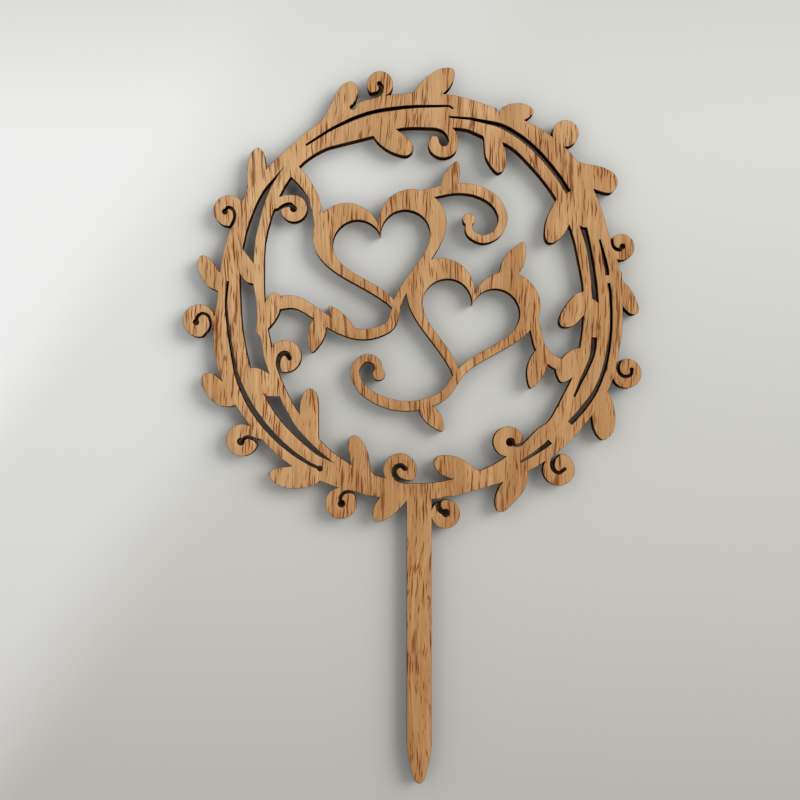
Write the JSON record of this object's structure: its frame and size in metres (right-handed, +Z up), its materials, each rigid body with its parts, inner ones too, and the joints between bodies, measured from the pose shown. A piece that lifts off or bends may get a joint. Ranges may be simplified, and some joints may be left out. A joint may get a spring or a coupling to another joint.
{
  "type": "wedding cake topper",
  "caption": "Flat laser-cut plywood wreath of leaves and curls round linked hearts, on a long tapered pick that is pushed into a cake.",
  "frame": {"origin": "on the pick's middle line and in the middle of the sheet's thickness, at the surface of the cake that the pick is pushed into, 50 mm above the pick's tip", "axes": "+Z up along the pick, +X to the right as seen from the front, +Y from the front face to the back face; the front face looks towards -Y"},
  "size_m": [0.0964, 0.003, 0.1504],
  "materials": {
    "veneer": "bare open-pored wood, matt, with charred edges",
    "core": "charred by the laser on every edge"
  },
  "bodies": {
    "root": {"front_veneer": "veneer", "core_board": "core", "back_veneer": "veneer"}
  },
  "joints": []
}
